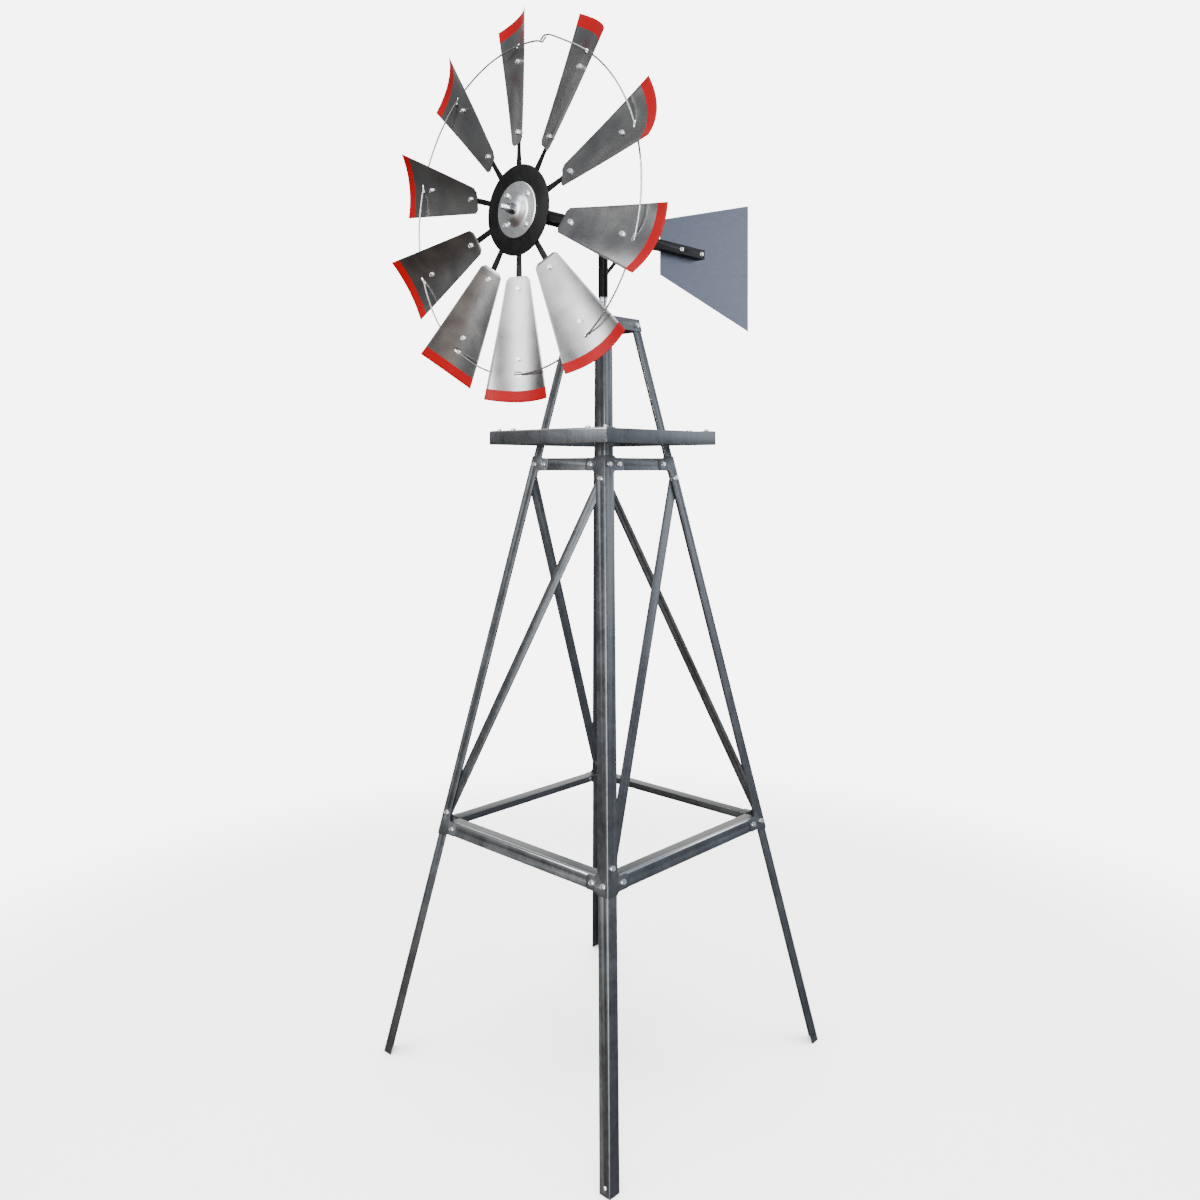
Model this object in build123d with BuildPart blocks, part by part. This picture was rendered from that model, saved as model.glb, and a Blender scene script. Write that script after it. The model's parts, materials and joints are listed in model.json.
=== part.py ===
from build123d import *
import math
import os

# A garden windmill: a four-legged angle-iron tower with a platform, a head that yaws on a
# spindle and carries a tail vane, and a ten-bladed wheel that spins in the head.
# Frame: millimetres, +Z up, origin on the ground at the tower's axis, wheel towards -Y.
# The tower has four alike sides. Side 0 faces -Y, and each next side is 90 degrees further
# round +Z. Leg i is the right-hand leg of side i, seen from outside.

# Tower, overall
ground_half = 381.0        # half the distance between the tower's faces at the ground
top_half = 64.0            # the same at the top of the legs
tower_height = 1785.0      # top of the legs

# Steel angle and flat bar
steel = 2.0                # wall of the angle
flange = 30.0              # outer width of an angle's flange
bend_radius = 3.5          # outside radius at the corner of an angle
brace_width = 28.0
brace_thickness = 3.0
brace_side_gap = 0.5       # from a brace's end to the next side's flange

# Joints of the tower
lower_strut_top = 564.0
upper_strut_drop = 340.0   # from the top of the legs to the upper strut's top
splice_overlap = 62.0      # how far the bottom and top legs nest inside the middle leg
middle_leg_margin = 5.0    # middle leg's end past the strut
ear_length = 30.0          # tab that a middle leg holds a strut with
ear_fillet = 9.0
ear_round = 6.0
strut_end_gap = 3.0        # between a strut's end and the leg's flange
bolt_line_gap = 6.0        # from a nut's inner end to the bolt line of the leg's other flange
strut_bolt_reach = 18.0    # from the leg's flange to the strut's bolt
brace_bolt_drop = 18.0     # from the upper strut's lower edge to the brace's bolt
brace_bolt_rise = 19.0     # from the lower strut's top to the brace's bolt
foot_hole_height = 15.0
foot_hole_radius = 4.0

# Bolts
bolt_radius = 3.0
bolt_head_across = 10.0
bolt_head_height = 4.0
nut_height = 5.0
bolt_tail = 2.0            # thread past the nut
hole_clearance = 0.3
thread_clearance = 0.05
seat_gap = 0.1             # lifts a flat bolt head clear of a curved sheet

# Platform
platform_half = 197.0
platform_drop = 273.0      # from the top of the legs to the platform's top
rail_height = 34.0
platform_corner_bolt = 17.0
bearer_end_gap = 0.5

# Top cap and spindle
cap_corner_radius = 3.0
cap_height = 30.0
cap_bolt_drop = 14.0
journal_radius = 7.0
spindle_step = 1.0         # how much thicker the spindle is than its journal
collar_step = 2.5
collar_height = 9.0
spindle_nut_across = 24.0
spindle_nut_height = 10.0
spindle_clearance = 0.2
spindle_chamfer = 1.0

# Head
mast_radius = 12.0
mast_wall = 2.0
mast_rise = 57.0           # from the top of the legs to the mast's lower end
thrust_washer_thickness = 3.0
thrust_washer_inset = 1.0  # from the mast's outside
thrust_gap = 0.3
running_clearance = 0.05
bush_length = 25.0
spindle_top_gap = 25.0     # from the spindle's top to the axle housing
axis_rise = 162.0          # from the mast's lower end to the axle and the tail boom
housing_radius = 17.0
housing_front = -232.0
housing_rear = 24.0
housing_rear_wall = 4.0
housing_wall = 3.0
bearing_width = 8.0
rear_bearing_front = -8.0
boom_side = 25.0
boom_wall = 2.0
boom_length = 368.0
boom_round = 3.5
boom_brace_radius = 4.5
boom_brace_rise = 60.0     # from the mast's lower end to where the brace leaves it
vane_thickness = 1.5
vane_lap = 160.0           # length of the boom that lies along the vane
vane_length = 396.0
vane_front_height = 145.0
vane_rear_height = 367.0
vane_bolts_from_end = (17.0, 102.0)

# Wheel
wheel_clearance = 46.0     # from the housing's front to the back face of the hub ring
blade_count = 10
axle_radius = 6.0
axle_stub = 33.0           # past the hub's dome
axle_chamfer = 1.0
axle_collar_radius = 10.0
axle_collar_length = 8.0
axle_collar_gap = 0.5
hub_ring_radius = 102.5
hub_ring_hole = 22.0
hub_ring_thickness = 3.0
hub_flange_radius = 64.0
hub_flange_thickness = 4.0
hub_dome_height = 12.0
hub_dome_radius = 27.0
hub_barrel_radius = 10.0
hub_barrel_gap = 0.5
hub_bolt_circle = 48.0      # radius
hub_bolt_count = 4
hub_bolt_turn = 50.0       # of the first bolt, from the top
axle_nut_across = 19.0
axle_nut_height = 10.0
axle_washer_radius = 13.0
axle_washer_thickness = 2.5
spoke_width = 13.0
spoke_thickness = 4.0
spoke_inset = 12.0         # from the bolt circle to the spoke's inner end
spoke_flat_end = 5.5       # from the hub ring's edge to where the spoke starts to twist
spoke_twist_length = 30.0
spoke_end_margin = 9.0
blade_pitch = 20.0
blade_sheet = 1.2
blade_curve = 200.0        # radius that each blade is rolled to
blade_root_gap = 12.0      # from the end of the twist to the blade's inner edge
blade_length = 285.0
blade_inner_width = 58.0
blade_tip_width = 163.0
blade_corner_cut = 8.0
blade_bolt_inset = 27.0    # from the blade's inner edge
blade_bolt_from_tip = 99.0
ring_wire_from_tip = 63.0
wire_radius = 2.0
wire_slot_length = 18.0
wire_slot_width = 6.0

side_names = ("front", "right", "rear", "left")
leg_names = ("front_right", "rear_right", "rear_left", "front_left")

# Worked out from the values above
lean = (ground_half - top_half) / tower_height   # how far a face moves in for each unit up
slope = math.hypot(1, lean)            # length along a face for each unit of height
corner_slope = math.sqrt(1 + 2 * lean**2)
layer = steel * slope                  # a wall's thickness measured level, across a face
bolt_hole_radius = bolt_radius + hole_clearance
leg_bolt_inset = 2 * steel + nut_height + bolt_line_gap
upper_strut_top = tower_height - upper_strut_drop
platform_top = tower_height - platform_drop
mast_bottom = tower_height + mast_rise
axis_height = mast_bottom + axis_rise
boom_brace_foot = mast_bottom + boom_brace_rise
boom_end = housing_rear + boom_length
vane_front = boom_end - vane_lap
vane_rear = vane_front + vane_length
wheel_plane = housing_front - wheel_clearance
ring_front = wheel_plane - hub_ring_thickness
hub_front = ring_front - hub_flange_thickness
dome_front = hub_front - hub_dome_height
spoke_twist_start = hub_ring_radius + spoke_flat_end
spoke_twist_end = spoke_twist_start + spoke_twist_length
blade_inner = spoke_twist_end + blade_root_gap
blade_tip = blade_inner + blade_length
blade_bolt_inner = blade_inner + blade_bolt_inset
blade_bolt_outer = blade_tip - blade_bolt_from_tip
ring_wire_radius = blade_tip - ring_wire_from_tip
spoke_inner = hub_bolt_circle + spoke_inset
spindle_radius = journal_radius + spindle_step
collar_radius = journal_radius + collar_step
thrust_washer_radius = mast_radius - thrust_washer_inset
bearing_radius = housing_radius - housing_wall
lower_strut_bottom = lower_strut_top - flange
upper_strut_bottom = upper_strut_top - flange
middle_leg_bottom = lower_strut_bottom - middle_leg_margin
middle_leg_top = upper_strut_top + middle_leg_margin
lower_strut_middle = lower_strut_top - flange / 2
upper_strut_middle = upper_strut_top - flange / 2
brace_low = lower_strut_top + brace_bolt_rise
brace_high = upper_strut_bottom - brace_bolt_drop
cap_bolt_height = tower_height - cap_bolt_drop
washer_top = mast_bottom - thrust_gap
collar_top = washer_top - thrust_washer_thickness
housing_bottom = axis_height - housing_radius

os.makedirs("parts", exist_ok=True)


def save(builder, name):
    builder.part.label = name
    export_step(builder.part, f"parts/{name}.step")


def half_width(height):
    """Distance from the tower's axis to a face's outer surface."""
    return ground_half - lean * height


def side_frame(side):
    """Level frame turned to a side, with its -Y towards that side."""
    return Plane(origin=(0, 0, 0), x_dir=Vector(1, 0, 0).rotate(Axis.Z, 90 * side))


def on_side(side, across, height, inset=0):
    """Plane on a leaning face, across to the right seen from outside, facing outward."""
    turn = 90 * side
    face = Plane(
        origin=Vector(0, -ground_half, 0).rotate(Axis.Z, turn),
        x_dir=Vector(1, 0, 0).rotate(Axis.Z, turn),
        z_dir=Vector(0, -1, lean).rotate(Axis.Z, turn),
    )
    spot = face.from_local_coords(Vector(across, height * slope, -inset))
    return Plane(origin=spot, x_dir=face.x_dir, z_dir=face.z_dir)


def drill(planes, radius, depth):
    with BuildSketch(*planes) as holes:
        Circle(radius)
    extrude(holes.sketch, amount=-depth, mode=Mode.SUBTRACT)


def add_bolts(planes, grip, head_gap=0.0):
    """Hex bolts with nuts; each plane lies on the outer surface of what is clamped."""
    seats = [plane.offset(head_gap) for plane in planes]
    with BuildSketch(*seats) as heads:
        RegularPolygon(bolt_head_across / 2, 6, major_radius=False)
    extrude(heads.sketch, amount=bolt_head_height)
    with BuildSketch(*seats) as shanks:
        Circle(bolt_radius)
    extrude(shanks.sketch, amount=-(head_gap + grip + nut_height + bolt_tail))
    with BuildSketch(*[plane.offset(-grip) for plane in planes]) as nuts:
        RegularPolygon(bolt_head_across / 2, 6, major_radius=False)
        Circle(bolt_radius + thread_clearance, mode=Mode.SUBTRACT)
    extrude(nuts.sketch, amount=-nut_height)


def leg_bolt_planes(leg, height, other_height, inset=0):
    """Bolt places on both flanges of a leg: on its own side, then on the next side."""
    here = half_width(height) - leg_bolt_inset
    there = half_width(other_height) - leg_bolt_inset
    return (
        on_side(leg, here, height, inset),
        on_side(leg + 1, -there, other_height, inset),
    )


def angle_leg(leg, bottom, top, inset, width):
    """Steel angle that runs up a tower corner, its outer corner inset from the faces."""
    corner = half_width(bottom) - inset
    with BuildSketch(side_frame(leg).offset(bottom)) as section:
        with BuildLine():
            Polyline(
                (corner, -corner),
                (corner, -corner + width),
                (corner - steel, -corner + width),
                (corner - steel, -corner + steel),
                (corner - width, -corner + steel),
                (corner - width, -corner),
                close=True,
            )
        make_face()
        outermost = section.vertices().sort_by(Axis((0, 0, 0), (1, -1, 0)))[-1]
        fillet(outermost, bend_radius)
    rise = Vector(-lean, lean, 1).rotate(Axis.Z, 90 * leg)
    extrude(section.sketch, amount=(top - bottom) * corner_slope, dir=rise)


def corner_at(sketch, x, y):
    return sketch.vertices().sort_by_distance((x, y, 0))[0]


def ear(side, hand, bottom, top):
    """Tab in the plane of a face that widens a leg's flange; hand is +1 on the right."""
    def edge(height):
        return hand * (half_width(height) - flange)

    tip = edge(top) - hand * ear_length
    heights = (bottom - 2 * ear_fillet, bottom, top, top + 2 * ear_fillet)
    low, foot, head, high = [height * slope for height in heights]
    inside = hand * flange / 2
    with BuildSketch(on_side(side, 0, 0)) as tab:
        with BuildLine():
            Polyline(
                (edge(heights[0]), low),
                (edge(heights[1]), foot),
                (tip, foot),
                (tip, head),
                (edge(heights[2]), head),
                (edge(heights[3]), high),
                (edge(heights[3]) + inside, high),
                (edge(heights[0]) + inside, low),
                close=True,
            )
        make_face()
        fillet([corner_at(tab, edge(heights[1]), foot), corner_at(tab, edge(heights[2]), head)], ear_fillet)
        fillet([corner_at(tab, tip, foot), corner_at(tab, tip, head)], ear_round)
    extrude(tab.sketch, amount=-steel)


def strut_bolt_planes(side, height, inset=0):
    reach = half_width(height) - flange - strut_bolt_reach
    return (on_side(side, reach, height, inset), on_side(side, -reach, height, inset))


def make_legs():
    for leg, name in enumerate(leg_names):
        with BuildPart() as bottom_leg:
            angle_leg(leg, 0, middle_leg_bottom + splice_overlap, layer, flange - steel)
            drill(leg_bolt_planes(leg, lower_strut_middle, brace_low), bolt_hole_radius, 4 * steel)
            drill([on_side(leg, half_width(foot_hole_height) - leg_bolt_inset, foot_hole_height)],
                  foot_hole_radius, 4 * steel)
        save(bottom_leg, f"bottom_leg_{name}")

        with BuildPart() as middle_leg:
            angle_leg(leg, middle_leg_bottom, middle_leg_top, 0, flange)
            for bottom, top in (
                (lower_strut_bottom, lower_strut_top),
                (upper_strut_bottom, upper_strut_top),
            ):
                ear(leg, 1, bottom, top)
                ear(leg + 1, -1, bottom, top)
            split_top = side_frame(leg).offset(middle_leg_top)
            split(bisect_by=split_top, keep=Keep.BOTTOM)
            split_bottom = side_frame(leg).offset(middle_leg_bottom)
            split(bisect_by=split_bottom, keep=Keep.TOP)
            drill(leg_bolt_planes(leg, lower_strut_middle, brace_low), bolt_hole_radius, 2 * steel)
            drill(leg_bolt_planes(leg, brace_high, upper_strut_middle), bolt_hole_radius, 2 * steel)
            for height in (lower_strut_middle, upper_strut_middle):
                drill([strut_bolt_planes(leg, height)[0], strut_bolt_planes(leg + 1, height)[1]],
                      bolt_hole_radius, 2 * steel)
        save(middle_leg, f"middle_leg_{name}")

        with BuildPart() as top_leg:
            angle_leg(leg, middle_leg_top - splice_overlap, tower_height, layer, flange - steel)
            drill(leg_bolt_planes(leg, brace_high, upper_strut_middle), bolt_hole_radius, 4 * steel)
            drill(leg_bolt_planes(leg, cap_bolt_height, cap_bolt_height), bolt_hole_radius, 4 * steel)
            for bearer_side in (1, 3):
                drill(bearer_bolt_planes(bearer_side), bolt_hole_radius, 4 * steel)
        save(top_leg, f"top_leg_{name}")


def side_section(side):
    """Upright plane through the tower's axis: x is the distance out to a side, y is up."""
    turn = 90 * side
    return Plane(
        origin=(0, 0, 0),
        x_dir=Vector(0, -1, 0).rotate(Axis.Z, turn),
        z_dir=Vector(-1, 0, 0).rotate(Axis.Z, turn),
    )


def add_bar(side, points, length):
    """Bar of one section that runs level along a side, centred on it."""
    with BuildSketch(side_section(side)) as section:
        with BuildLine():
            Polyline(*points, close=True)
        make_face()
    extrude(section.sketch, amount=length / 2, both=True)


def leaning_angle(side, top, inset, outward, length):
    """Angle along a side: one flange lies on the leaning face, the top one is level."""
    face_top = half_width(top) - inset
    face_step = half_width(top - steel) - inset
    face_bottom = half_width(top - flange) - inset
    level = flange if outward else -flange
    wall = layer if outward else -layer
    points = (
        (face_top, top),
        (face_top + level, top),
        (face_top + level, top - steel),
        (face_step + wall, top - steel),
        (face_bottom + wall, top - flange),
        (face_bottom, top - flange),
    )
    add_bar(side, points, length)


def make_struts():
    for level, top in (("lower", lower_strut_top), ("upper", upper_strut_top)):
        for side, name in enumerate(side_names):
            length = 2 * (half_width(top) - flange - strut_end_gap)
            with BuildPart() as strut:
                leaning_angle(side, top, layer, False, length)
                drill(strut_bolt_planes(side, top - flange / 2), bolt_hole_radius, 4 * steel)
            save(strut, f"{level}_strut_{name}")


def make_braces():
    """One flat bar a side, from its upper right to its lower left, behind the legs."""
    upper_end = (half_width(brace_high) - leg_bolt_inset, brace_high * slope)
    lower_end = (-(half_width(brace_low) - leg_bolt_inset), brace_low * slope)
    run = math.dist(upper_end, lower_end)
    tilt = math.degrees(math.atan2(upper_end[1] - lower_end[1], upper_end[0] - lower_end[0]))
    middle = ((upper_end[0] + lower_end[0]) / 2, (upper_end[1] + lower_end[1]) / 2)
    reach_high = half_width(tower_height) - 2 * layer - brace_side_gap
    reach_ground = half_width(0) - 2 * layer - brace_side_gap
    high = tower_height * slope
    with BuildPart() as braces:
        for side in range(4):
            with BuildSketch(on_side(side, 0, 0, 2 * steel)):
                with Locations(middle):
                    SlotCenterToCenter(run, brace_width, rotation=tilt)
                with BuildLine():
                    Polyline(
                        (-reach_ground, 0),
                        (reach_ground, 0),
                        (reach_high, high),
                        (-reach_high, high),
                        close=True,
                    )
                make_face(mode=Mode.INTERSECT)
                with Locations(upper_end, lower_end):
                    Circle(bolt_hole_radius, mode=Mode.SUBTRACT)
            extrude(amount=-brace_thickness)
    save(braces, "diagonal_braces")


def bearer_bolt_planes(side):
    height = platform_top - steel - flange / 2
    across = half_width(height) - leg_bolt_inset
    return (on_side(side, across, height), on_side(side, -across, height))


def platform_bolt_planes():
    """Upright bolts at the platform's corners and where the rails cross the bearers."""
    corner = platform_half - platform_corner_bolt
    edge = platform_half - flange / 2
    bearer = half_width(platform_top - steel) - layer + flange / 2
    corners = [Plane(origin=(x, y, platform_top)) for x in (-corner, corner) for y in (-corner, corner)]
    bearers = [Plane(origin=(x, y, platform_top)) for x in (-bearer, bearer) for y in (-edge, edge)]
    return corners + bearers


def make_platform():
    # The front and rear rails run full length; the other two butt between their upright
    # flanges and lap under their top flanges.
    for side, name in enumerate(side_names):
        lapped = side % 2 == 1
        top = platform_top - steel if lapped else platform_top
        reach = platform_half - steel if lapped else platform_half
        points = (
            (platform_half, top),
            (platform_half, platform_top - rail_height),
            (platform_half - steel, platform_top - rail_height),
            (platform_half - steel, top - steel),
            (platform_half - flange, top - steel),
            (platform_half - flange, top),
        )
        with BuildPart() as rail:
            add_bar(side, points, 2 * reach)
            drill(platform_bolt_planes(), bolt_hole_radius, 3 * steel)
        save(rail, f"platform_rail_{name}")

    for side in (1, 3):
        with BuildPart() as bearer:
            length = 2 * (platform_half - steel - bearer_end_gap)
            leaning_angle(side, platform_top - steel, layer, True, length)
            drill(platform_bolt_planes(), bolt_hole_radius, 3 * steel)
            drill(bearer_bolt_planes(side), bolt_hole_radius, 2 * steel)
        save(bearer, f"platform_bearer_{side_names[side]}")

    with BuildPart() as platform_bolts:
        add_bolts(platform_bolt_planes(), 2 * steel)
    save(platform_bolts, "platform_bolts")


def cap_bolt_planes():
    planes = []
    for leg in range(4):
        planes += leg_bolt_planes(leg, cap_bolt_height, cap_bolt_height)
    return planes


def make_tower_bolts():
    doubled = []
    tripled = []
    for side in range(4):
        for height in (lower_strut_middle, upper_strut_middle):
            doubled += strut_bolt_planes(side, height)
        doubled.append(leg_bolt_planes(side, lower_strut_middle, brace_low)[0])
        tripled.append(leg_bolt_planes(side, lower_strut_middle, brace_low)[1])
        tripled.append(leg_bolt_planes(side, brace_high, upper_strut_middle)[0])
        doubled.append(leg_bolt_planes(side, brace_high, upper_strut_middle)[1])
    for side in (1, 3):
        doubled += bearer_bolt_planes(side)
    doubled += cap_bolt_planes()
    with BuildPart() as tower_bolts:
        add_bolts(doubled, 2 * steel)
        add_bolts(tripled, 2 * steel + brace_thickness)
    save(tower_bolts, "tower_bolts")


def make_cap_and_spindle():
    skirt_bottom = tower_height + steel - cap_height
    with BuildPart() as top_cap:
        with BuildSketch(Plane.XY.offset(skirt_bottom)):
            Rectangle(2 * half_width(skirt_bottom), 2 * half_width(skirt_bottom))
        extrude(amount=cap_height, taper=math.degrees(math.atan(lean)))
        skirt_corners = top_cap.edges().filter_by(Axis.Z, tolerance=math.degrees(2 * math.atan(lean)))
        fillet(skirt_corners, cap_corner_radius)
        with BuildSketch(Plane.XY.offset(skirt_bottom)):
            inner = 2 * (half_width(skirt_bottom) - layer)
            Rectangle(inner, inner)
        extrude(amount=cap_height - steel, taper=math.degrees(math.atan(lean)), mode=Mode.SUBTRACT)
        drill([Plane.XY.offset(tower_height + steel)], spindle_radius + spindle_clearance, 2 * steel)
        drill(cap_bolt_planes(), bolt_hole_radius, 2 * steel)
    save(top_cap, "top_cap")

    spindle_bottom = tower_height - spindle_nut_height - bolt_tail
    spindle_top = housing_bottom - spindle_top_gap
    with BuildPart() as spindle:
        with BuildSketch(Plane.XY.offset(spindle_bottom)):
            Circle(spindle_radius)
        extrude(amount=collar_top - spindle_bottom)
        with BuildSketch(Plane.XY.offset(collar_top)):
            Circle(collar_radius)
        extrude(amount=-collar_height)
        with BuildSketch(Plane.XY.offset(collar_top)):
            Circle(journal_radius)
        extrude(amount=spindle_top - collar_top)
        chamfer(spindle.edges().group_by(Axis.Z)[-1], spindle_chamfer)
    save(spindle, "spindle")

    with BuildPart() as spindle_nuts:
        for height in (tower_height + steel, tower_height - spindle_nut_height):
            with BuildSketch(Plane.XY.offset(height)):
                RegularPolygon(spindle_nut_across / 2, 6, major_radius=False)
                Circle(spindle_radius + thread_clearance, mode=Mode.SUBTRACT)
            extrude(amount=spindle_nut_height)
    save(spindle_nuts, "spindle_nuts")

    with BuildPart() as thrust_washer:
        with BuildSketch(Plane.XY.offset(collar_top)):
            Circle(thrust_washer_radius)
            Circle(journal_radius + running_clearance, mode=Mode.SUBTRACT)
        extrude(amount=thrust_washer_thickness)
    save(thrust_washer, "thrust_washer")
    return spindle_top


def across_axle(y):
    """Plane across the axle at y, facing the front; its x is +X and its y is up."""
    return Plane(origin=(0, y, axis_height), x_dir=(1, 0, 0), z_dir=(0, -1, 0))


def add_disc(y_front, y_rear, radius, bore=0.0):
    with BuildSketch(across_axle(y_rear)) as disc:
        Circle(radius)
        if bore > 0:
            Circle(bore, mode=Mode.SUBTRACT)
    extrude(disc.sketch, amount=y_rear - y_front)


def make_head(spindle_top):
    mast_bore = mast_radius - mast_wall
    with BuildPart() as mast_tube:
        with BuildSketch(Plane.XY.offset(mast_bottom)):
            Circle(mast_radius)
            Circle(mast_bore, mode=Mode.SUBTRACT)
        extrude(amount=axis_height - mast_bottom)
        with BuildSketch(across_axle(housing_rear)):
            Circle(housing_radius)
        extrude(amount=2 * housing_rear, mode=Mode.SUBTRACT)
    save(mast_tube, "mast_tube")

    with BuildPart() as mast_bushes:
        for bottom in (mast_bottom, spindle_top - bush_length):
            with BuildSketch(Plane.XY.offset(bottom)):
                Circle(mast_bore)
                Circle(journal_radius + running_clearance, mode=Mode.SUBTRACT)
            extrude(amount=bush_length)
    save(mast_bushes, "mast_bushes")

    with BuildPart() as axle_housing:
        add_disc(housing_front, housing_rear, housing_radius)
        with BuildSketch(across_axle(housing_rear - housing_rear_wall)):
            Circle(bearing_radius)
        extrude(amount=housing_rear - housing_rear_wall - housing_front, mode=Mode.SUBTRACT)
    save(axle_housing, "axle_housing")

    with BuildPart() as axle_bearings:
        for front in (housing_front, rear_bearing_front):
            add_disc(front, front + bearing_width, bearing_radius, axle_radius + running_clearance)
    save(axle_bearings, "axle_bearings")

    with BuildPart() as tail_boom:
        boom_middle = (housing_rear + boom_end) / 2
        with BuildSketch(Plane.XZ.offset(-housing_rear)):
            with Locations((0, axis_height)):
                Rectangle(boom_side, boom_side)
        extrude(amount=-(boom_end - housing_rear))
        far_face = tail_boom.faces().sort_by(Axis.Y)[-1]
        fillet(far_face.edges(), boom_round)
        with BuildSketch(Plane.XZ.offset(-housing_rear)):
            with Locations((0, axis_height)):
                Rectangle(boom_side - 2 * boom_wall, boom_side - 2 * boom_wall)
        extrude(amount=-(boom_end - housing_rear - 2 * boom_wall), mode=Mode.SUBTRACT)
        drill(vane_bolt_planes(), bolt_hole_radius, 2 * boom_side)
    save(tail_boom, "tail_boom")

    brace_reach = axis_height - boom_side / 2 - boom_brace_foot
    with BuildPart() as boom_brace:
        start = Vector(0, 0, boom_brace_foot - mast_radius)
        with BuildSketch(Plane(origin=start, z_dir=(0, 1, 1))):
            Circle(boom_brace_radius)
        extrude(amount=math.sqrt(2) * (brace_reach + 2 * mast_radius))
        with BuildSketch(Plane.XY.offset(mast_bottom)):
            Circle(mast_radius)
        extrude(amount=axis_height - mast_bottom, mode=Mode.SUBTRACT)
        split(bisect_by=Plane.XY.offset(axis_height - boom_side / 2), keep=Keep.BOTTOM)
        split(bisect_by=Plane.XZ, keep=Keep.BOTTOM)
    save(boom_brace, "boom_brace")

    with BuildPart() as tail_vane:
        with BuildSketch(Plane.YZ.offset(-boom_side / 2)):
            with BuildLine():
                Polyline(
                    (vane_front, axis_height - vane_front_height / 2),
                    (vane_rear, axis_height - vane_rear_height / 2),
                    (vane_rear, axis_height + vane_rear_height / 2),
                    (vane_front, axis_height + vane_front_height / 2),
                    close=True,
                )
            make_face()
        extrude(amount=-vane_thickness)
        drill(vane_bolt_planes(), bolt_hole_radius, 2 * boom_side)
    save(tail_vane, "tail_vane")

    with BuildPart() as vane_bolts:
        add_bolts(vane_bolt_planes(), boom_side + vane_thickness)
    save(vane_bolts, "vane_bolts")


def vane_bolt_planes():
    return [
        Plane(origin=(boom_side / 2, boom_end - distance, axis_height), x_dir=(0, 1, 0), z_dir=(1, 0, 0))
        for distance in vane_bolts_from_end
    ]


def make_hub():
    barrel_rear = housing_front - hub_barrel_gap
    hub_depth = barrel_rear - dome_front

    with BuildPart() as hub_ring:
        add_disc(ring_front, wheel_plane, hub_ring_radius, hub_ring_hole)
        drill(hub_bolt_planes(hub_front), bolt_hole_radius, hub_depth)
    save(hub_ring, "hub_ring")

    with BuildPart() as hub_flange:
        with BuildSketch(Plane.YZ):
            with BuildLine():
                Polyline(
                    (barrel_rear, axis_height),
                    (barrel_rear, axis_height + hub_barrel_radius),
                    (ring_front, axis_height + hub_barrel_radius),
                    (ring_front, axis_height + hub_flange_radius),
                    (hub_front, axis_height + hub_flange_radius),
                    (hub_front, axis_height + hub_dome_radius + hub_dome_height),
                    (dome_front, axis_height + hub_dome_radius / 2),
                    (dome_front, axis_height),
                    close=True,
                )
            make_face()
        revolve(axis=Axis((0, 0, axis_height), (0, 1, 0)))
        rim = hub_flange.edges().filter_by(GeomType.CIRCLE).group_by(SortBy.RADIUS)[-1]
        fillet(rim.sort_by(Axis.Y)[0], hub_flange_thickness / 4)
        drill([across_axle(dome_front)], axle_radius, hub_depth)
        drill(hub_bolt_planes(hub_front), bolt_hole_radius, hub_depth)
    save(hub_flange, "hub_flange")

    with BuildPart() as hub_bolts:
        add_bolts(hub_bolt_planes(hub_front), hub_flange_thickness + hub_ring_thickness)
    save(hub_bolts, "hub_bolts")

    rear_bearing_end = rear_bearing_front + bearing_width
    collar_front = rear_bearing_end + axle_collar_gap
    with BuildPart() as axle:
        add_disc(dome_front - axle_stub, collar_front + axle_collar_length, axle_radius)
        chamfer(axle.edges().group_by(Axis.Y)[0], axle_chamfer)
    save(axle, "axle")

    with BuildPart() as axle_collar:
        add_disc(collar_front, collar_front + axle_collar_length, axle_collar_radius, axle_radius)
    save(axle_collar, "axle_collar")

    with BuildPart() as axle_nut:
        add_disc(dome_front - axle_washer_thickness, dome_front, axle_washer_radius, axle_radius)
        with BuildSketch(across_axle(dome_front - axle_washer_thickness)):
            RegularPolygon(axle_nut_across / 2, 6, major_radius=False)
            Circle(axle_radius, mode=Mode.SUBTRACT)
        extrude(amount=axle_nut_height)
    save(axle_nut, "axle_nut")


def hub_bolt_planes(y):
    planes = []
    for number in range(hub_bolt_count):
        angle = math.radians(hub_bolt_turn + number * 360 / hub_bolt_count)
        x = hub_bolt_circle * math.sin(angle)
        z = axis_height + hub_bolt_circle * math.cos(angle)
        planes.append(Plane(origin=(x, y, z), x_dir=(1, 0, 0), z_dir=(0, -1, 0)))
    return planes


def blade_frame(number, pitch):
    """A spoke's own frame at the axle: z runs out along the spoke and y faces forward,
    both turned by the pitch, so that the blade's clockwise edge is its forward one."""
    turn = math.radians(number * 360 / blade_count)
    tilt = math.radians(pitch)
    outward = Vector(math.sin(turn), 0, math.cos(turn))
    across = Vector(-math.cos(turn), 0, math.sin(turn))
    chord = across * math.cos(tilt) + Vector(0, 1, 0) * math.sin(tilt)
    origin = Vector(0, wheel_plane + spoke_thickness / 2, axis_height)
    return Plane(origin=origin, x_dir=chord, z_dir=outward)


def spoke_face(number):
    """The spoke's frame laid flat: x is across the blade, y is out along the spoke, and
    z faces forward from the spoke's front."""
    frame = blade_frame(number, blade_pitch)
    seat = frame.from_local_coords(Vector(0, spoke_thickness / 2, 0))
    return Plane(origin=seat, x_dir=-frame.x_dir, z_dir=frame.y_dir)


def spoke_plane_at(number, pitch, radius):
    frame = blade_frame(number, pitch)
    return frame.offset(radius)


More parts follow.
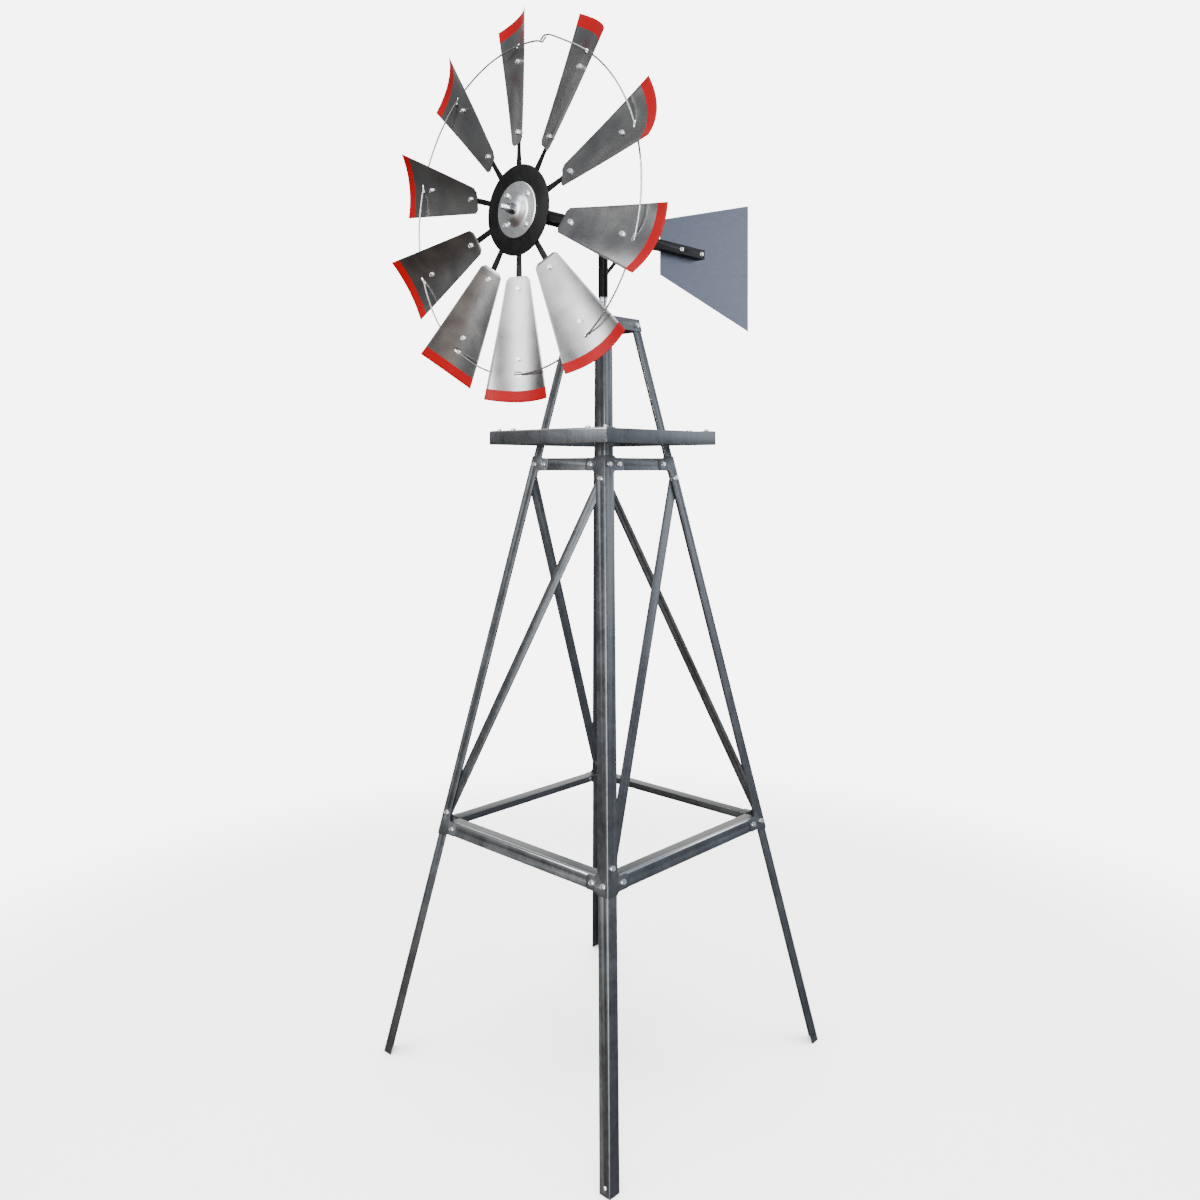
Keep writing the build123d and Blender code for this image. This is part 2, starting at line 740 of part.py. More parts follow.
def blade_bolt_planes(number):
    face = spoke_face(number).offset(blade_sheet)
    planes = []
    for radius in (blade_bolt_inner, blade_bolt_outer):
        origin = face.from_local_coords(Vector(0, radius, 0))
        planes.append(Plane(origin=origin, x_dir=face.x_dir, z_dir=face.z_dir))
    return planes


def make_spokes():
    with BuildPart() as spokes:
        for number in range(blade_count):
            with BuildSketch(spoke_plane_at(number, 0, spoke_inner)) as root:
                Rectangle(spoke_width, spoke_thickness)
            extrude(root.sketch, amount=spoke_twist_start - spoke_inner)
            with BuildSketch(spoke_plane_at(number, 0, spoke_twist_start)) as flat_end:
                Rectangle(spoke_width, spoke_thickness)
            with BuildSketch(spoke_plane_at(number, blade_pitch, spoke_twist_end)) as pitched_end:
                Rectangle(spoke_width, spoke_thickness)
            loft([flat_end.sketch, pitched_end.sketch])
            extrude(pitched_end.sketch, amount=blade_bolt_outer + spoke_end_margin - spoke_twist_end)
            drill(blade_bolt_planes(number), bolt_hole_radius, 4 * spoke_thickness)
    save(spokes, "spokes")


def blade_half_width(radius):
    share = (radius - blade_inner) / (blade_tip - blade_inner)
    return (blade_inner_width + share * (blade_tip_width - blade_inner_width)) / 2


def make_blade(number):
    front = spoke_thickness / 2 + blade_sheet
    corner = math.sqrt(blade_tip**2 - (blade_tip_width / 2) ** 2)
    inner_half = blade_inner_width / 2
    cut_half = blade_half_width(blade_inner + blade_corner_cut)
    face = spoke_face(number)
    rolled_half = blade_tip_width / 2 + blade_sheet
    edge_rise = blade_curve - math.sqrt(blade_curve**2 - rolled_half**2) + blade_sheet
    with BuildPart() as blade:
        with BuildSketch(blade_frame(number, blade_pitch).offset(blade_inner)) as roll:
            with Locations((0, front + blade_curve)):
                Circle(blade_curve + blade_sheet)
                Circle(blade_curve, mode=Mode.SUBTRACT)
            with Locations((0, front)):
                Rectangle(2 * rolled_half, 2 * edge_rise, mode=Mode.INTERSECT)
        extrude(roll.sketch, amount=blade_tip - blade_inner)
        with BuildSketch(face.offset(-blade_sheet)) as outline:
            with BuildLine():
                ThreePointArc(
                    (-blade_tip_width / 2, corner), (0, blade_tip), (blade_tip_width / 2, corner)
                )
                Polyline(
                    (blade_tip_width / 2, corner),
                    (cut_half, blade_inner + blade_corner_cut),
                    (inner_half - blade_corner_cut, blade_inner),
                    (blade_corner_cut - inner_half, blade_inner),
                    (-cut_half, blade_inner + blade_corner_cut),
                    (-blade_tip_width / 2, corner),
                )
            make_face()
            with Locations((0, ring_wire_radius)):
                SlotOverall(wire_slot_length, wire_slot_width, mode=Mode.SUBTRACT)
            with Locations((0, blade_bolt_inner), (0, blade_bolt_outer)):
                Circle(bolt_hole_radius, mode=Mode.SUBTRACT)
        extrude(outline.sketch, amount=edge_rise + 2 * blade_sheet, mode=Mode.INTERSECT)
    save(blade, f"blade_{number + 1:02d}")


def make_wheel():
    make_hub()
    make_spokes()
    for number in range(blade_count):
        make_blade(number)

    with BuildPart() as blade_bolts:
        for number in range(blade_count):
            add_bolts(blade_bolt_planes(number), blade_sheet + spoke_thickness, seat_gap)
    save(blade_bolts, "blade_bolts")

    # The wire lies where it crosses the middle of each sheet halfway across the blade.
    sheet_middle = (spoke_thickness + blade_sheet) / 2
    wire_y = wheel_plane + spoke_thickness / 2 - sheet_middle * math.cos(math.radians(blade_pitch))
    top_of_ring = (0, wire_y, axis_height + ring_wire_radius)
    with BuildPart() as ring_wire:
        with BuildSketch(Plane(origin=top_of_ring, x_dir=(0, 1, 0), z_dir=(1, 0, 0))):
            Circle(wire_radius)
        revolve(axis=Axis((0, 0, axis_height), (0, 1, 0)))
    save(ring_wire, "ring_wire")


make_legs()
make_struts()
make_braces()
make_platform()
make_tower_bolts()
make_head(make_cap_and_spindle())
make_wheel()
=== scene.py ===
import json
import math
import random

import bmesh
import bpy
from mathutils import Matrix, Vector, noise


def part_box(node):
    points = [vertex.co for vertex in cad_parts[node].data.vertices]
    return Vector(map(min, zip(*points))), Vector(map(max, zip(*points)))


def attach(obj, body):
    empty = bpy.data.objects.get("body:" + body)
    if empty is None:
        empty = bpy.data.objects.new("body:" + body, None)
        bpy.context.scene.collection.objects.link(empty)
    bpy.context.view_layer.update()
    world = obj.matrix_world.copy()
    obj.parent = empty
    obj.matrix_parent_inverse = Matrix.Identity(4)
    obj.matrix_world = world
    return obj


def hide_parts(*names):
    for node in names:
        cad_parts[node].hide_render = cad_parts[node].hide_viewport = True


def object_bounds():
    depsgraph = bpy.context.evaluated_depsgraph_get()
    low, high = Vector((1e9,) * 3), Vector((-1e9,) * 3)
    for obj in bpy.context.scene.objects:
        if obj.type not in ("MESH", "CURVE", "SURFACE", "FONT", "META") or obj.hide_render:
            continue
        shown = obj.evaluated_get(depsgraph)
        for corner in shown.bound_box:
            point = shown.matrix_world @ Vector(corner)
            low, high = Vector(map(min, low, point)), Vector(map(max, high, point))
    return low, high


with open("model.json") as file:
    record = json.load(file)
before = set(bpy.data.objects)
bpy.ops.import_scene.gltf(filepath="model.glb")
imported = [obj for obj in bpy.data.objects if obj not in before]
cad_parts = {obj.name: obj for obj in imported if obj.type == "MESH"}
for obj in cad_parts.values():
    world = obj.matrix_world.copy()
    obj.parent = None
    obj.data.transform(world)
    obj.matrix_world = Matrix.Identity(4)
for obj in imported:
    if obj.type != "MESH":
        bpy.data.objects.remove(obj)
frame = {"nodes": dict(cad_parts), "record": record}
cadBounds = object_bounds()
cadNodes = frame["nodes"]
mm = 0.001

ringFront, ringBack = (corner.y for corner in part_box("hub_ring"))   # the spokes lie on its back face
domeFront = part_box("hub_flange")[0].y
axisHeight = sum(corner.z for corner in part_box("axle")) / 2
forward = Vector((0, -1, 0))                                        # the wheel faces this way

print("frame loaded:", len(cadNodes), "parts")


def hexToLinear(hexColour):
    channels = [int(hexColour[i:i + 2], 16) / 255 for i in (1, 3, 5)]
    return [c / 12.92 if c <= 0.04045 else ((c + 0.055) / 1.055) ** 2.4 for c in channels] + [1.0]


def openSocket(sockets, name=None):
    # some nodes keep several sockets of one name, and only one of them is in use
    return next(s for s in sockets if s.enabled and name in (None, s.name))


def addNode(tree, kind, links=None, **settings):
    node = tree.nodes.new(kind)
    for name, value in settings.items():
        setattr(node, name, value)
    for name, value in (links or {}).items():
        target = node.inputs[name] if isinstance(name, int) else openSocket(node.inputs, name)
        if isinstance(value, bpy.types.Node):
            value = openSocket(value.outputs)
        if isinstance(value, bpy.types.NodeSocket):
            tree.links.new(value, target)
        else:
            target.default_value = value
    return node


def startMaterial(name, metallic, extra=None):
    material = bpy.data.materials.new(name)
    material.use_nodes = True
    tree = material.node_tree
    shader = tree.nodes["Principled BSDF"]
    shader.inputs["Metallic"].default_value = metallic
    for socket, value in (extra or {}).items():
        shader.inputs[socket].default_value = value
    return material, tree, shader


def feedShader(tree, shader, feeds):
    for socket, node in feeds.items():
        tree.links.new(openSocket(node.outputs), shader.inputs[socket])


def perMetre(millimetres):
    return 1000 / millimetres   # a texture's scale from the size of one of its marks


# in every look below, a pattern's size is in millimetres, "rough" is the least and most roughness,
# and "tones" are the values of the pattern that get the dark and the light colour
noiseSpan = (0.3, 0.7)          # nearly all of a noise texture's values lie between these

zincLooks = {
    # rolled angle, hot-dip galvanised: dull blue-grey with cloudy patches and fine lengthwise
    # streaks; its edges are brighter, partly rubbed zinc and partly a painted highlight along the rounded
    # corners
    "hotDipGalvanisedAngle": {
        "dark": "#595c5f", "light": "#7b7e81", "spangle": 8, "cloud": 60, "streak": (2.2, 2.2, 60),
        "rough": (0.4, 0.54), "edge": "#d3d6d8", "edgeRough": 0.2,
    },
    # thin galvanised sheet of the tail vane: smoother and bluer, with a faint mottling
    "satinGalvanisedVane": {
        "dark": "#52565f", "light": "#696d79", "spangle": 14, "cloud": 90, "streak": (3, 45, 3),
        "rough": (0.36, 0.48), "edge": "#b4bac6", "edgeRough": 0.3,
    },
}
zincPattern = {
    "spangleShare": 0.16, "streakShare": 0.35, "tones": (0.33, 0.68),
    "relief": 0.12 * mm, "reliefStrength": 0.5, "reliefSpangle": 0.5,
}


def zincCoated(name, look):
    material, tree, shader = startMaterial(name, 1.0)
    place = addNode(tree, "ShaderNodeTexCoord").outputs["Object"]
    spangle = addNode(tree, "ShaderNodeTexVoronoi", {"Vector": place, "Scale": perMetre(look["spangle"])})
    cloud = addNode(tree, "ShaderNodeTexNoise", {
        "Vector": place, "Scale": perMetre(look["cloud"]), "Detail": 5.0, "Roughness": 0.62})
    stretched = addNode(tree, "ShaderNodeMapping", {
        "Vector": place, "Scale": [perMetre(size) for size in look["streak"]]})
    streak = addNode(tree, "ShaderNodeTexNoise", {
        "Vector": stretched, "Scale": 1.0, "Detail": 4.0, "Roughness": 0.6})
    grey = addNode(tree, "ShaderNodeRGBToBW", {"Color": spangle.outputs["Color"]})
    cloudy = addNode(tree, "ShaderNodeMix", {
        "Factor": zincPattern["spangleShare"], "A": cloud, "B": grey})
    mottled = addNode(tree, "ShaderNodeMix", {
        "Factor": zincPattern["streakShare"], "A": cloudy, "B": streak})
    darkAt, lightAt = zincPattern["tones"]
    tone = addNode(tree, "ShaderNodeMapRange", {
        "Value": mottled, "From Min": darkAt, "From Max": lightAt})
    sheetColour = addNode(tree, "ShaderNodeMix", {
        "Factor": tone, "A": hexToLinear(look["dark"]), "B": hexToLinear(look["light"]),
    }, data_type="RGBA")
    # the light edge colour is partly rubbed zinc and partly a painted highlight along the rounded corners
    edge = addNode(tree, "ShaderNodeAttribute", attribute_name="softEdge").outputs["Fac"]
    edgeWearAndPaintedHighlight = addNode(tree, "ShaderNodeMix", {
        "Factor": edge, "A": sheetColour, "B": hexToLinear(look["edge"]),
    }, data_type="RGBA")
    low, high = look["rough"]
    rough = addNode(tree, "ShaderNodeMapRange", {
        "Value": cloudy, "From Min": noiseSpan[0], "From Max": noiseSpan[1], "To Min": low, "To Max": high})
    rubbed = addNode(tree, "ShaderNodeMix", {"Factor": edge, "A": rough, "B": look["edgeRough"]})
    height = addNode(tree, "ShaderNodeMix", {
        "Factor": zincPattern["reliefSpangle"], "A": streak, "B": grey})
    bump = addNode(tree, "ShaderNodeBump", {
        "Height": height, "Distance": zincPattern["relief"], "Strength": zincPattern["reliefStrength"]})
    feedShader(tree, shader, {"Base Color": edgeWearAndPaintedHighlight, "Roughness": rubbed, "Normal": bump})
    return material


bladeLook = {
    "dark": "#86868a", "light": "#abaaa8", "tones": (0.32, 0.68), "rough": (0.2, 0.29),
    # grain lines by width and length; real ones are a tenth as wide, too fine to show, so they
    # are drawn this coarse
    "grain": (0.7, 90), "grainShare": 0.3, "smudge": 70,
    "relief": 0.05 * mm, "reliefStrength": 0.4,
    # the enamel: its band is measured from the tip, its edge wanders, and its film stands proud
    "red": "#9c0008", "redDeep": "#7e0006", "redRough": 0.42, "redIor": 1.25, "band": 26 * mm,
    "wander": 0.5 * mm, "film": 0.6,
}


def brightSheetWithRedTip(name, look):
    # bright zinc sheet: a soft mirror with fine grain lines along the blade and hand smudges;
    # its tip is dipped in red enamel, and the IOR is the enamel's, for bare metal ignores it
    material, tree, shader = startMaterial(name, 1.0, {"IOR": look["redIor"]})
    sheetMap = addNode(tree, "ShaderNodeUVMap", uv_map="sheetMap")
    place = addNode(tree, "ShaderNodeTexCoord").outputs["Object"]
    lines = addNode(tree, "ShaderNodeMapping", {
        "Vector": sheetMap.outputs["UV"], "Scale": (*[perMetre(size) for size in look["grain"]], 1.0)})
    grain = addNode(tree, "ShaderNodeTexNoise", {
        "Vector": lines, "Scale": 1.0, "Detail": 3.0, "Roughness": 0.7})
    smudge = addNode(tree, "ShaderNodeTexNoise", {
        "Vector": place, "Scale": perMetre(look["smudge"]), "Detail": 4.0, "Roughness": 0.5,
        "Distortion": 0.4})
    tone = addNode(tree, "ShaderNodeMix", {"Factor": look["grainShare"], "A": smudge, "B": grain})
    darkAt, lightAt = look["tones"]
    spread = addNode(tree, "ShaderNodeMapRange", {
        "Value": tone, "From Min": darkAt, "From Max": lightAt})
    zinc = addNode(tree, "ShaderNodeMix", {
        "Factor": spread, "A": hexToLinear(look["dark"]), "B": hexToLinear(look["light"]),
    }, data_type="RGBA")
    red = addNode(tree, "ShaderNodeMix", {
        "Factor": smudge, "A": hexToLinear(look["redDeep"]), "B": hexToLinear(look["red"]),
    }, data_type="RGBA")
    toTip = addNode(tree, "ShaderNodeAttribute", attribute_name="tipDistance")
    bandEdge = addNode(tree, "ShaderNodeMapRange", {
        "Value": smudge, "To Min": look["band"] - look["wander"], "To Max": look["band"] + look["wander"]})
    painted = addNode(tree, "ShaderNodeMath", {0: toTip.outputs["Fac"], 1: bandEdge},
                      operation="LESS_THAN")
    colour = addNode(tree, "ShaderNodeMix", {
        "Factor": painted, "A": zinc, "B": red}, data_type="RGBA")
    metal = addNode(tree, "ShaderNodeMath", {0: 1.0, 1: painted}, operation="SUBTRACT")
    low, high = look["rough"]
    zincRough = addNode(tree, "ShaderNodeMapRange", {
        "Value": tone, "From Min": noiseSpan[0], "From Max": noiseSpan[1], "To Min": low, "To Max": high})
    rough = addNode(tree, "ShaderNodeMix", {"Factor": painted, "A": zincRough, "B": look["redRough"]})
    film = addNode(tree, "ShaderNodeMath", {0: painted, 1: look["film"]}, operation="MULTIPLY")
    height = addNode(tree, "ShaderNodeMath", {0: grain, 1: film}, operation="ADD")
    bump = addNode(tree, "ShaderNodeBump", {
        "Height": height, "Distance": look["relief"], "Strength": look["reliefStrength"]})
    feedShader(tree, shader, {"Base Color": colour, "Metallic": metal, "Roughness": rough, "Normal": bump})
    return material


platedLooks = {
    # bright zinc plate on cold-headed bolts: silvery with a faint blue passivate
    "brightZincPlate": {
        "dark": "#c3c7cb", "light": "#f2f3f3", "mark": 3, "rough": (0.24, 0.42), "relief": 0.03 * mm},
    # spun and polished aluminium of the hub flange: clean silver with soft broad smears
    "spunAluminium": {
        "dark": "#cfd1d4", "light": "#f1f2f4", "mark": 22, "rough": (0.2, 0.34), "relief": 0.03 * mm},
    # cold-drawn galvanised wire: grey and slightly patchy
    "drawnGalvanisedWire": {
        "dark": "#8b8d8c", "light": "#cfd0ce", "mark": 6, "rough": (0.22, 0.4), "relief": 0.03 * mm},
    # ground bearing steel: even mid grey, quite smooth
    "groundSteel": {
        "dark": "#8c8e90", "light": "#c2c3c4", "mark": 2, "rough": (0.18, 0.32), "relief": 0.02 * mm},
    # oil-filled sintered bronze: brown-gold and dull; its pores are drawn coarser than the real ones
    "sinteredBronze": {
        "dark": "#8a5f33", "light": "#b98a4e", "mark": 0.8, "rough": (0.34, 0.52), "relief": 0.04 * mm},
    # zinc plate of the axle nut and its washer, darkened as painted shade: smoky grey with lighter patches
    "zincPlateWithPaintedShade": {
        "dark": "#4c4f52", "light": "#8b8f93", "mark": 3, "rough": (0.22, 0.42), "relief": 0.03 * mm},
}
platedPattern = {"tones": (0.32, 0.68), "reliefStrength": 0.5}


def platedMetal(name, look):
    # one pattern of marks for all plated and turned metal: the lighter a spot, the smoother
    material, tree, shader = startMaterial(name, 1.0)
    place = addNode(tree, "ShaderNodeTexCoord").outputs["Object"]
    marks = addNode(tree, "ShaderNodeTexNoise", {
        "Vector": place, "Scale": perMetre(look["mark"]), "Detail": 5.0, "Roughness": 0.65})
    darkAt, lightAt = platedPattern["tones"]
    tone = addNode(tree, "ShaderNodeMapRange", {
        "Value": marks, "From Min": darkAt, "From Max": lightAt})
    colour = addNode(tree, "ShaderNodeMix", {
        "Factor": tone, "A": hexToLinear(look["dark"]), "B": hexToLinear(look["light"]),
    }, data_type="RGBA")
    low, high = look["rough"]
    rough = addNode(tree, "ShaderNodeMapRange", {
        "Value": marks, "From Min": noiseSpan[0], "From Max": noiseSpan[1], "To Min": high, "To Max": low})
    bump = addNode(tree, "ShaderNodeBump", {
        "Height": marks, "Distance": look["relief"], "Strength": platedPattern["reliefStrength"]})
    feedShader(tree, shader, {"Base Color": colour, "Roughness": rough, "Normal": bump})
    return material


blackLook = {
    "black": "#040405", "dusty": "#111112", "wear": "#55585c", "peel": 1.6, "dust": 30,
    "dustTones": (0.42, 0.8), "wearTones": (0.5, 0.62), "rough": (0.36, 0.55),
    "ior": 1.28,   # low, so that soft light leaves the enamel deep black
    "relief": 0.06 * mm, "reliefStrength": 0.35,
}


def satinBlackPaint(name, look):
    # sprayed satin enamel on steel: slight orange peel, thin dust, rubbed bare on some edges
    material, tree, shader = startMaterial(name, 0.0, {"IOR": look["ior"]})
    place = addNode(tree, "ShaderNodeTexCoord").outputs["Object"]
    dust = addNode(tree, "ShaderNodeTexNoise", {
        "Vector": place, "Scale": perMetre(look["dust"]), "Detail": 7.0, "Roughness": 0.7})
    peel = addNode(tree, "ShaderNodeTexNoise", {
        "Vector": place, "Scale": perMetre(look["peel"]), "Detail": 2.0, "Roughness": 0.5})
    cleanAt, dustyAt = look["dustTones"]
    tone = addNode(tree, "ShaderNodeMapRange", {
        "Value": dust, "From Min": cleanAt, "From Max": dustyAt})
    paint = addNode(tree, "ShaderNodeMix", {
        "Factor": tone, "A": hexToLinear(look["black"]), "B": hexToLinear(look["dusty"]),
    }, data_type="RGBA")
    edge = addNode(tree, "ShaderNodeAttribute", attribute_name="softEdge")
    wholeAt, bareAt = look["wearTones"]
    chipped = addNode(tree, "ShaderNodeMapRange", {
        "Value": dust, "From Min": wholeAt, "From Max": bareAt})
    worn = addNode(tree, "ShaderNodeMath", {0: edge.outputs["Fac"], 1: chipped},
                   operation="MULTIPLY")
    colour = addNode(tree, "ShaderNodeMix", {
        "Factor": worn, "A": paint, "B": hexToLinear(look["wear"]),
    }, data_type="RGBA")
    low, high = look["rough"]
    rough = addNode(tree, "ShaderNodeMapRange", {
        "Value": dust, "From Min": noiseSpan[0], "From Max": noiseSpan[1], "To Min": low, "To Max": high})
    bump = addNode(tree, "ShaderNodeBump", {
        "Height": peel, "Distance": look["relief"], "Strength": look["reliefStrength"]})
    feedShader(tree, shader, {"Base Color": colour, "Roughness": rough, "Normal": bump})
    return material


galvanised = zincCoated("hotDipGalvanisedAngle", zincLooks["hotDipGalvanisedAngle"])
vaneZinc = zincCoated("satinGalvanisedVane", zincLooks["satinGalvanisedVane"])
bladeSheet = brightSheetWithRedTip("brightZincSheetRedTip", bladeLook)
blackPaint = satinBlackPaint("satinBlackEnamel", blackLook)
plated = {name: platedMetal(name, look) for name, look in platedLooks.items()}
print("materials made")


def finishPiece(mesh, name, body, material, slotName, *replaced):
    piece = bpy.data.objects.new(name, mesh)
    bpy.context.scene.collection.objects.link(piece)
    mesh.materials.clear()
    mesh.materials.append(material)
    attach(piece, body)
    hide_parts(*replaced)


def meshFrom(bm, name, creaseDegrees=32):
    bmesh.ops.recalc_face_normals(bm, faces=bm.faces)
    mesh = bpy.data.meshes.new(name)
    bm.to_mesh(mesh)
    bm.free()
    mesh.shade_smooth()
    mesh.set_sharp_from_angle(angle=math.radians(creaseDegrees))
    return mesh


def evaluatedMesh(thing):
    # the mesh that modifiers or a curve's own settings give
    bpy.context.view_layer.update()
    return bpy.data.meshes.new_from_object(thing.evaluated_get(bpy.context.evaluated_depsgraph_get()))


# CAD surfaces that meet at less than flatDegrees are one face, at more than sharpDegrees an edge
cadMesh = {"weld": 0.002 * mm, "flatDegrees": 0.4, "sharpDegrees": 28}
rolled = {"radius": 4 * mm, "segments": 5, "degrees": 60, "flange": 18 * mm, "shortest": 80 * mm}


def cleanCopy(node):
    bm = bmesh.new()
    bm.from_mesh(cadNodes[node].data)
    bmesh.ops.remove_doubles(bm, verts=bm.verts, dist=cadMesh["weld"])
    bmesh.ops.dissolve_limit(bm, angle_limit=math.radians(cadMesh["flatDegrees"]),
                             verts=bm.verts, edges=bm.edges)
    return bm


def sharpEdges(bm, degrees):
    return [e for e in bm.edges if e.is_manifold and e.calc_face_angle() > math.radians(degrees)]


def rolledCorners(bm):
    # the outer corner between two wide flanges, which rolling leaves round
    return [e for e in bm.edges if e.is_manifold and e.calc_length() > rolled["shortest"]
            and e.calc_face_angle_signed() > math.radians(rolled["degrees"])
            and all(f.calc_area() > rolled["flange"] * e.calc_length() for f in e.link_faces)]


def roundEdges(bm, edges, width, segments=2, slide=False):
    return bmesh.ops.bevel(bm, geom=edges, offset=width, segments=segments, profile=0.5,
                           affect="EDGES", clamp_overlap=True, loop_slide=slide)["faces"]


def softEdges(node, width, rolledAngle=False):
    bm = cleanCopy(node)
    softEdge = bm.faces.layers.float.new("softEdge")   # lets the materials show wear on the edges, and a painted highlight on the galvanised ones
    if rolledAngle:
        for face in roundEdges(bm, rolledCorners(bm), rolled["radius"], rolled["segments"]):
            face[softEdge] = 1.0
    for face in roundEdges(bm, sharpEdges(bm, cadMesh["sharpDegrees"]), width, slide=True):
        face[softEdge] = 1.0
    return meshFrom(bm, node)


def joinRings(bm, rings, closed=False):
    for first, second in list(zip(rings, rings[1:])) + ([(rings[-1], rings[0])] if closed else []):
        count = max(len(first), len(second))
        for i in range(count):
            j = (i + 1) % count
            corners = [first[i % len(first)], first[j % len(first)],
                       second[j % len(second)], second[i % len(second)]]
            bm.faces.new(list(dict.fromkeys(corners)))


def closeSheet(bm, faces):
    # a thin sheet from the lines of points of its two faces, joined round the rim
    for face in faces:
        for first, second in zip(face, face[1:]):
            for i in range(len(first) - 1):
                bm.faces.new((first[i], first[i + 1], second[i + 1], second[i]))
    rims = [[*face[0], *[line[-1] for line in face[1:-1]], *reversed(face[-1]),
             *[line[0] for line in reversed(face[1:-1])]] for face in faces]
    joinRings(bm, rims)


def lathe(bm, centre, direction, profile, sides=48, turned=0.0, closed=False):
    # profile holds (along, radius) pairs; either can be a function of the turn, as on a hexagon
    side = direction.orthogonal().normalized()
    up = direction.cross(side)
    rings = []
    for along, radius in profile:
        ring = []
        for i in range(sides if radius else 1):
            turn = 2 * math.pi * i / sides
            reach = radius(turn) if callable(radius) else radius
            height = along(turn) if callable(along) else along
            spin = turn + turned
            arm = side * math.cos(spin) + up * math.sin(spin)
            ring.append(bm.verts.new(centre + direction * height + arm * reach))
        rings.append(ring)
    joinRings(bm, rings, closed)


hexEnd = {"flat": 0.47, "degrees": 30}   # the flat round on top, as a share of the width, and the slope


def hexagon(across):
    return lambda turn: across / 2 / math.cos((turn + math.pi / 6) % (math.pi / 3) - math.pi / 6)


def hexProfile(across, bottom, top):
    # a hexagon whose upper corners are turned off
    reach = hexagon(across)
    flat = hexEnd["flat"] * across
    slope = math.tan(math.radians(hexEnd["degrees"]))

    def shoulder(turn):
        return top - (reach(turn) - flat) * slope

    return [(bottom, reach), (shoulder, reach), (top, flat)]


thread = {"depth": 0.6, "lastCut": 0.2, "point": 1.6}   # shares of the pitch, the pitch and the depth


def threadProfile(start, end, radius, pitch):
    depth = thread["depth"] * pitch
    profile = []
    for i in range(max(1, int((end - start) / pitch))):
        profile += [(start + i * pitch, radius - depth), (start + (i + 0.5) * pitch, radius)]
    profile += [(end - thread["lastCut"] * pitch, radius - depth), (end, radius - thread["point"] * depth)]
    return profile + [(end, 0)]


print("bolts")
bolt = {
    "across": 10 * mm, "head": 4 * mm, "nut": 5 * mm, "tail": 2 * mm, "radius": 3 * mm, "pitch": 1.0 * mm,
    "washer": 6.3 * mm, "washerThick": 0.9 * mm, "washerWall": 0.7, "ease": 0.3 * mm,
    "dish": ((1.1, 0), (0.95, 0.3 * mm), (0, 0.35 * mm)),   # in the head: share of the radius, depth
    "sides": 36,
}


def boltPlaces(node):
    # each solid's widest flat face is the top of its head; solids as short as a nut are left out
    bm = cleanCopy(node)
    unseen = set(bm.verts)
    places = []
    while unseen:
        island, front = set(), [unseen.pop()]
        while front:
            vert = front.pop()
            island.add(vert)
            fresh = {e.other_vert(vert) for e in vert.link_edges} & unseen
            unseen -= fresh
            front += fresh
        widest = max({f for v in island for f in v.link_faces}, key=lambda f: f.calc_area())
        outward = widest.normal
        top = widest.calc_center_median()
        length = max((top - v.co).dot(outward) for v in island)
        if length > bolt["head"] + bolt["nut"]:
            grip = length - bolt["head"] - bolt["nut"] - bolt["tail"]
            places.append((top - outward * bolt["head"], outward.copy(), grip))
    bm.free()
    return sorted(places, key=lambda place: tuple(round(c, 4) for c in place[0]))


def makeBolts(node, body):
    random.seed(len(node))
    washer, thick, ease = bolt["washer"], bolt["washerThick"], bolt["ease"]
    top = thick + bolt["head"] - ease
    head = [(0, 0), (0, washer), (thick * bolt["washerWall"], washer), (thick, washer - ease)]
    head += hexProfile(bolt["across"], thick, top)
    head += [(top - deep, bolt["radius"] * share) for share, deep in bolt["dish"]]
    tail = hexProfile(bolt["across"], 0, bolt["nut"])
    tail += threadProfile(bolt["nut"], bolt["nut"] + bolt["tail"], bolt["radius"], bolt["pitch"])
    bm = bmesh.new()
    for seat, outward, grip in boltPlaces(node):
        lathe(bm, seat, outward, head, bolt["sides"], random.uniform(0, math.pi / 3))
        lathe(bm, seat - outward * grip, -outward, [(-grip, 0)] + tail, bolt["sides"],
              random.uniform(0, math.pi / 3))
    finishPiece(meshFrom(bm, node, creaseDegrees=28), node + "_detailed", body,
                plated["brightZincPlate"], "zinc_hardware", node)


for boltNode, boltBody in (("tower_bolts", "tower"), ("platform_bolts", "tower"), ("vane_bolts", "head"),
                           ("hub_bolts", "wheel"), ("blade_bolts", "wheel")):
    makeBolts(boltNode, boltBody)


print("tower")
towerEdges = {
    # word in the part's name: width of its softened edges, and whether it is rolled angle
    "_leg_": (0.45 * mm, True), "_strut_": (0.4 * mm, True), "rail": (0.5 * mm, True),
    "bearer": (0.4 * mm, True), "braces": (0.5 * mm, False), "cap": (0.5 * mm, False),
}
for node in frame["record"]["behaviour"]["bodies"]["tower"]:
    for word, (width, rolledAngle) in towerEdges.items():
        if word in node:
            finishPiece(softEdges(node, width, rolledAngle), node + "_edged", "tower",
                        galvanised, "galvanised_steel", node)


print("blades")
blade = {
    "count": 10, "pitch": 20, "sheet": 1.2 * mm, "curve": 200 * mm, "rimEase": 0.25 * mm,
    "inner": 150 * mm, "tip": 435 * mm, "innerWidth": 58 * mm, "tipWidth": 163 * mm, "cut": 8 * mm,
    "rows": 40, "columns": 22, "tipPower": 3,   # how late the lines across begin to follow the tip's arc
    "slotRadius": 372 * mm, "slotLength": 18 * mm, "slotWidth": 6 * mm, "slotDeep": 10 * mm, "slotSteps": 12,
    "spokeThickness": 4 * mm, "boltRadii": (177 * mm, 336 * mm),
    # oil-canning: depth, length of its waves, the flat round each bolt and the width it fades over
    "dent": 0.45 * mm, "waves": (110, 150), "flatRound": 10 * mm, "fade": 30 * mm, "waveStep": 7.3,
}


